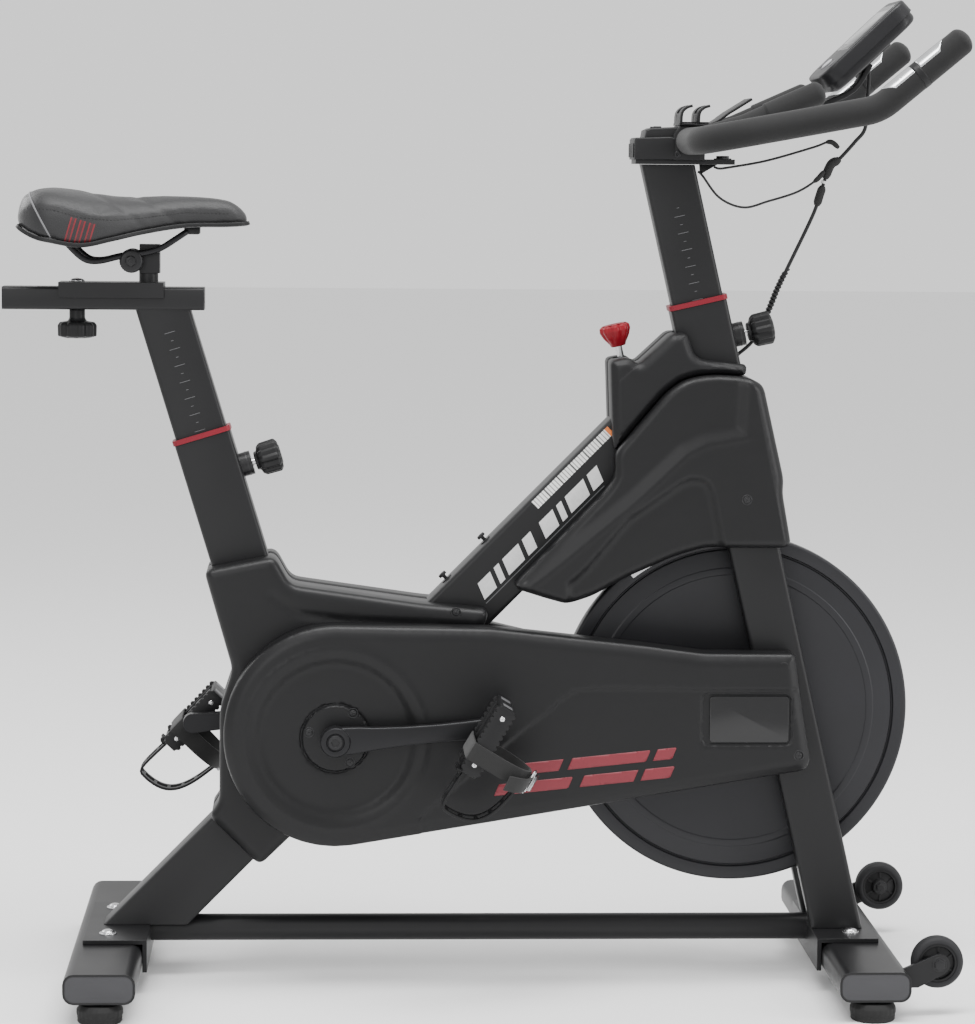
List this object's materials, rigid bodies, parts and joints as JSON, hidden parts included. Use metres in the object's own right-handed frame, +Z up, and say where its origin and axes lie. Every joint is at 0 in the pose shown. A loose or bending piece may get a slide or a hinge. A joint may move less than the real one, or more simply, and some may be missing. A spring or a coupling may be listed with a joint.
{
  "type": "indoor spin bike",
  "caption": "Indoor spin bike with a belt-driven flywheel under moulded covers, adjustable saddle and handlebar, caged pedals, a console and a magnetic brake knob.",
  "frame": {"origin": "on the floor under the middle of the bike's bounding box", "axes": "+X the way the rider faces, +Z up, -Y the drive side (the rider's right)"},
  "size_m": [1.0879, 0.512, 1.1379],
  "materials": {
    "powder_coat": "satin black powder coat",
    "flywheel_paint": "satin dark paint with a machined rim",
    "bright_steel": "polished",
    "pulley_metal": "cast",
    "cover_plastic": "fine moulded texture",
    "crank_black": "satin black",
    "plastic_black": "moulded",
    "collar_red": "satin",
    "knob_red": "satin",
    "black_rubber": "matt",
    "foam_grip": "foam",
    "saddle_cover": "padded synthetic leather with red stripes",
    "console_case": "smooth",
    "button_grey": "satin"
  },
  "bodies": {
    "frame": {"main_beam": "powder_coat", "base_rail": "powder_coat", "seat_tube": "powder_coat", "head_tube": "powder_coat", "crank_bearing": "powder_coat", "fork_leg_right": "powder_coat", "fork_leg_left": "powder_coat", "seat_collar": "collar_red", "head_collar": "collar_red", "rear_stabilizer": "powder_coat", "front_stabilizer": "powder_coat", "frame_cover_right": "cover_plastic", "frame_cover_left": "cover_plastic", "belt_guard_right": "cover_plastic", "belt_guard_left": "cover_plastic", "shroud_right": "cover_plastic", "shroud_left": "cover_plastic", "head_cover_right": "cover_plastic", "head_cover_left": "cover_plastic", "drive_belt": "black_rubber"},
    "foot_front_right": {"foot_front_right": "black_rubber"},
    "foot_front_left": {"foot_front_left": "black_rubber"},
    "foot_rear_right": {"foot_rear_right": "black_rubber"},
    "foot_rear_left": {"foot_rear_left": "black_rubber"},
    "transport_wheel_right": {"transport_wheel_right": "black_rubber"},
    "transport_wheel_left": {"transport_wheel_left": "black_rubber"},
    "crankset": {"crank_spindle": "bright_steel", "crank_pulley": "pulley_metal", "crank_right": "crank_black", "crank_left": "crank_black"},
    "pedal_right": {"pedal_right": "plastic_black", "toe_clip_right": "plastic_black"},
    "pedal_left": {"pedal_left": "plastic_black", "toe_clip_left": "plastic_black"},
    "flywheel": {"flywheel": "flywheel_paint", "flywheel_axle": "bright_steel", "flywheel_pulley": "pulley_metal"},
    "tension_rod": {"tension_rod": "bright_steel"},
    "tension_knob": {"tension_knob": "knob_red"},
    "magnet_bracket": {"magnet_bracket": "powder_coat"},
    "seat_post": {"seat_post": "powder_coat"},
    "seat_pin": {"seat_pin": "bright_steel"},
    "seat_knob": {"seat_knob": "plastic_black"},
    "saddle_carriage": {"saddle_carriage": "powder_coat"},
    "slider_knob": {"slider_knob": "plastic_black"},
    "saddle": {"saddle_clamp": "powder_coat", "saddle_rails": "powder_coat", "saddle_shell": "plastic_black", "saddle_cushion": "saddle_cover"},
    "handlebar": {"bar_post": "powder_coat", "bar_mount": "plastic_black", "handlebar": "foam_grip", "tablet_rest": "plastic_black", "console": "console_case", "console_cable": "black_rubber", "pulse_wire_upper": "black_rubber", "pulse_wire_lower": "black_rubber"},
    "bar_pin": {"bar_pin": "bright_steel"},
    "bar_knob": {"bar_knob": "plastic_black"},
    "console_button": {"console_button": "button_grey"}
  },
  "joints": [
    {"name": "flywheel_spin", "type": "hinge", "parent": "frame", "child": "flywheel", "pos_m": [0.30305, 0, 0.3165], "axis": [0, 1, 0], "continuous": true},
    {"name": "crank_spin", "type": "hinge", "parent": "frame", "child": "crankset", "pos_m": [-0.1615, 0, 0.293], "axis": [0, 1, 0], "continuous": true},
    {"name": "pedal_right_spin", "type": "hinge", "parent": "crankset", "child": "pedal_right", "pos_m": [0.00785, -0.1645, 0.30782], "axis": [0, 1, 0], "continuous": true},
    {"name": "pedal_left_spin", "type": "hinge", "parent": "crankset", "child": "pedal_left", "pos_m": [-0.33085, 0.1645, 0.27818], "axis": [0, 1, 0], "continuous": true},
    {"name": "seat_post_height", "type": "slide", "parent": "frame", "child": "seat_post", "axis": [-0.2924, 0, 0.9563], "range_m": [-0.12, 0.06]},
    {"name": "saddle_slide", "type": "slide", "parent": "seat_post", "child": "saddle_carriage", "axis": [1, 0, 0], "range_m": [-0.04, 0.04]},
    {"name": "slider_knob_turn", "type": "hinge", "parent": "saddle_carriage", "child": "slider_knob", "pos_m": [-0.45945, 0, 0.752], "axis": [0, 0, 1], "range_deg": [0, 300]},
    {"name": "saddle_tilt", "type": "hinge", "parent": "saddle_carriage", "child": "saddle", "pos_m": [-0.39645, 0, 0.833], "axis": [0, 1, 0], "range_deg": [-8, 8]},
    {"name": "seat_knob_turn", "type": "hinge", "parent": "seat_pin", "child": "seat_knob", "pos_m": [-0.25485, 0, 0.60254], "axis": [0.9563, 0, 0.2924], "range_deg": [-360, 360]},
    {"name": "seat_pin_pull", "type": "slide", "parent": "frame", "child": "seat_pin", "axis": [0.9563, 0, 0.2924], "range_m": [0, 0.012], "stiffness_N_per_m": 400, "springref_m": -0.003},
    {"name": "handlebar_height", "type": "slide", "parent": "frame", "child": "handlebar", "axis": [-0.2267, 0, 0.974], "range_m": [-0.06, 0.06], "deforming": ["console_cable"]},
    {"name": "bar_pin_pull", "type": "slide", "parent": "frame", "child": "bar_pin", "axis": [0.974, 0, 0.2267], "range_m": [0, 0.012], "stiffness_N_per_m": 400, "springref_m": -0.003},
    {"name": "bar_knob_turn", "type": "hinge", "parent": "bar_pin", "child": "bar_knob", "pos_m": [0.31434, 0, 0.75498], "axis": [0.974, 0, 0.2267], "range_deg": [-360, 360]},
    {"name": "console_button_press", "type": "slide", "parent": "handlebar", "child": "console_button", "axis": [0.6884, 0, -0.7254], "range_m": [0, 0.001], "stiffness_N_per_m": 300, "springref_m": -0.001},
    {"name": "brake_push", "type": "slide", "parent": "frame", "child": "tension_rod", "axis": [0.2267, 0, -0.974], "range_m": [0, 0.008], "stiffness_N_per_m": 900, "springref_m": -0.004},
    {"name": "tension_turn", "type": "hinge", "parent": "tension_rod", "child": "tension_knob", "pos_m": [0.1647, 0, 0.738], "axis": [-0.2267, 0, 0.974], "range_deg": [0, 1350]},
    {"name": "magnet_swing", "type": "hinge", "parent": "frame", "child": "magnet_bracket", "pos_m": [0.27301, 0, 0.5425], "axis": [0, -1, 0], "range_deg": [0, 7.5]},
    {"name": "transport_wheel_right_spin", "type": "hinge", "parent": "frame", "child": "transport_wheel_right", "pos_m": [0.5145, -0.205, 0.059], "axis": [0, 1, 0], "continuous": true},
    {"name": "transport_wheel_left_spin", "type": "hinge", "parent": "frame", "child": "transport_wheel_left", "pos_m": [0.5145, 0.205, 0.059], "axis": [0, 1, 0], "continuous": true},
    {"name": "foot_front_right_turn", "type": "hinge", "parent": "frame", "child": "foot_front_right", "pos_m": [0.439, -0.23, 0.02], "axis": [0, 0, 1], "range_deg": [-360, 360]},
    {"name": "foot_front_left_turn", "type": "hinge", "parent": "frame", "child": "foot_front_left", "pos_m": [0.439, 0.23, 0.02], "axis": [0, 0, 1], "range_deg": [-360, 360]},
    {"name": "foot_rear_right_turn", "type": "hinge", "parent": "frame", "child": "foot_rear_right", "pos_m": [-0.421, -0.23, 0.02], "axis": [0, 0, 1], "range_deg": [-360, 360]},
    {"name": "foot_rear_left_turn", "type": "hinge", "parent": "frame", "child": "foot_rear_left", "pos_m": [-0.421, 0.23, 0.02], "axis": [0, 0, 1], "range_deg": [-360, 360]}
  ],
  "couplings": [
    {"joint": "crank_spin", "follows": "flywheel_spin", "ratio": 0.26316},
    {"joint": "magnet_swing", "follows": "brake_push", "rad_per_m": 16.345}
  ]
}
